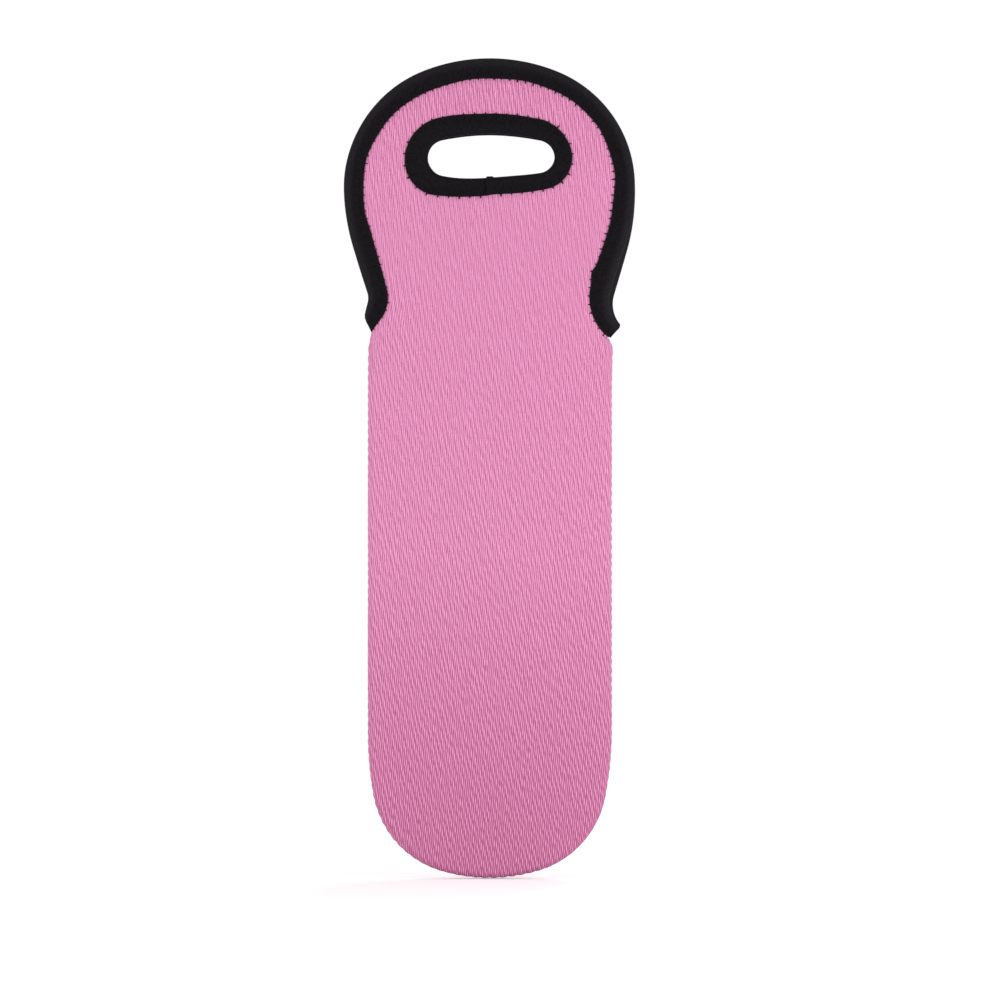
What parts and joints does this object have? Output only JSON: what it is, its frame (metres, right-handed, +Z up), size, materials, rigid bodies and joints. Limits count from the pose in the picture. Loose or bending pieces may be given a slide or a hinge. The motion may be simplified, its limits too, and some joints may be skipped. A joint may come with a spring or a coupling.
{
  "type": "bottle carrier",
  "caption": "Flat neoprene carrier for a wine bottle: sewn pocket with a rounded base, and rounded handles above the mouth with a bound hand hole and a bound edge.",
  "frame": {"origin": "between the two handles, at the middle of the upper edge of the hand holes, where a hand or a hook carries the bag", "axes": "+Z up the bag from its base to its top edge, X across its width, front panel on the -Y side"},
  "size_m": [0.131, 0.0154, 0.37],
  "materials": {
    "face_jersey": "matte",
    "lining_jersey": "matte",
    "neoprene_foam": "matte",
    "binding_tape": "matte",
    "binding_thread": "satin",
    "seam_thread": "satin"
  },
  "bodies": {
    "pocket": {"front_pocket_face": "face_jersey", "front_pocket_foam": "neoprene_foam", "front_pocket_lining": "lining_jersey", "back_pocket_face": "face_jersey", "back_pocket_foam": "neoprene_foam", "back_pocket_lining": "lining_jersey", "seam_thread": "seam_thread", "seam_overlock": "seam_thread"},
    "front_handle": {"front_handle_face": "face_jersey", "front_handle_foam": "neoprene_foam", "front_handle_lining": "lining_jersey", "front_edge_binding": "binding_tape", "front_edge_stitching": "binding_thread", "front_grip_binding": "binding_tape", "front_grip_stitching": "binding_thread"},
    "back_handle": {"back_handle_face": "face_jersey", "back_handle_foam": "neoprene_foam", "back_handle_lining": "lining_jersey", "back_edge_binding": "binding_tape", "back_edge_stitching": "binding_thread", "back_grip_binding": "binding_tape", "back_grip_stitching": "binding_thread"}
  },
  "joints": [
    {"name": "front_handle_fold", "type": "hinge", "parent": "pocket", "child": "front_handle", "pos_m": [0, -0.0065, -0.09095], "axis": [1, 0, 0], "range_deg": [-1, 90], "stiffness_Nm_per_rad": 0.03},
    {"name": "back_handle_fold", "type": "hinge", "parent": "pocket", "child": "back_handle", "pos_m": [0, 0.0065, -0.09095], "axis": [-1, 0, 0], "range_deg": [-1, 90], "stiffness_Nm_per_rad": 0.03}
  ]
}
